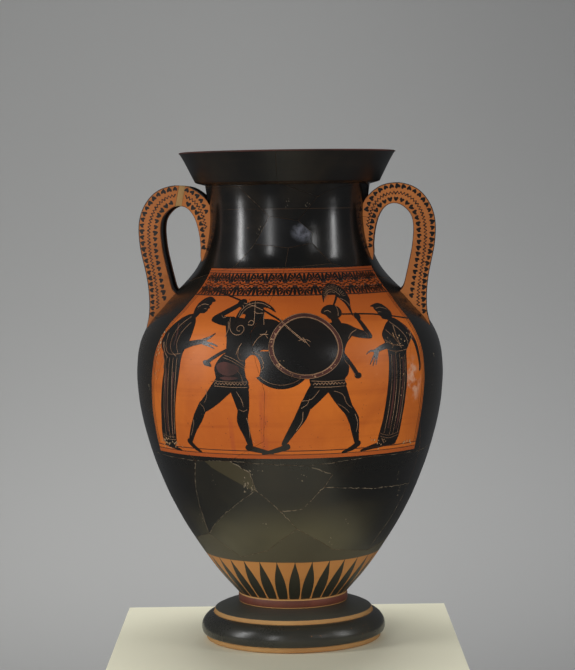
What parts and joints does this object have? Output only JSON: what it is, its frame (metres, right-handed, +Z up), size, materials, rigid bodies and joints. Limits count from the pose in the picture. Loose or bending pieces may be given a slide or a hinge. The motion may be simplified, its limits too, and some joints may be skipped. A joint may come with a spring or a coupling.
{
  "type": "amphora",
  "caption": "Two-handled belly amphora with a flaring mouth, flanged handles and a two-degree foot, mended from fragments, with a framed figure panel.",
  "frame": {"origin": "centre of the foot's underside, on the surface the vase stands on", "axes": "+Z up along the vessel's axis; -Y is the painted front; the handles stand on -X and +X"},
  "size_m": [0.3514, 0.3514, 0.56],
  "materials": {
    "black_gloss": "satin black fired slip, worn at the edges",
    "painted_clay": "burnished orange clay with black figures and bands",
    "red_band": "matt dark red added slip",
    "fill": "toned restorer's plaster, matt"
  },
  "bodies": {
    "root": {"foot": "black_gloss", "foot_fillet": "red_band", "base_ring": "painted_clay", "belly_left": "black_gloss", "belly_fill": "fill", "belly_lower": "black_gloss", "belly_centre": "black_gloss", "belly_right": "black_gloss", "belly_right_lower": "black_gloss", "belly_side": "black_gloss", "belly_back_right": "black_gloss", "belly_back_left": "black_gloss", "panel_left": "painted_clay", "panel_warrior": "painted_clay", "panel_shield": "painted_clay", "panel_right": "painted_clay", "panel_back": "painted_clay", "neck_left": "black_gloss", "neck_low_left": "black_gloss", "neck_low_right": "black_gloss", "neck_patch": "fill", "neck_front": "black_gloss", "neck_right": "black_gloss", "neck_back": "black_gloss", "mouth_left": "black_gloss", "mouth_right": "black_gloss", "mouth_back": "black_gloss", "handle_right": "black_gloss", "handle_right_root": "black_gloss", "handle_left": "black_gloss", "handle_left_fill": "fill", "handle_left_root": "black_gloss"}
  },
  "joints": []
}
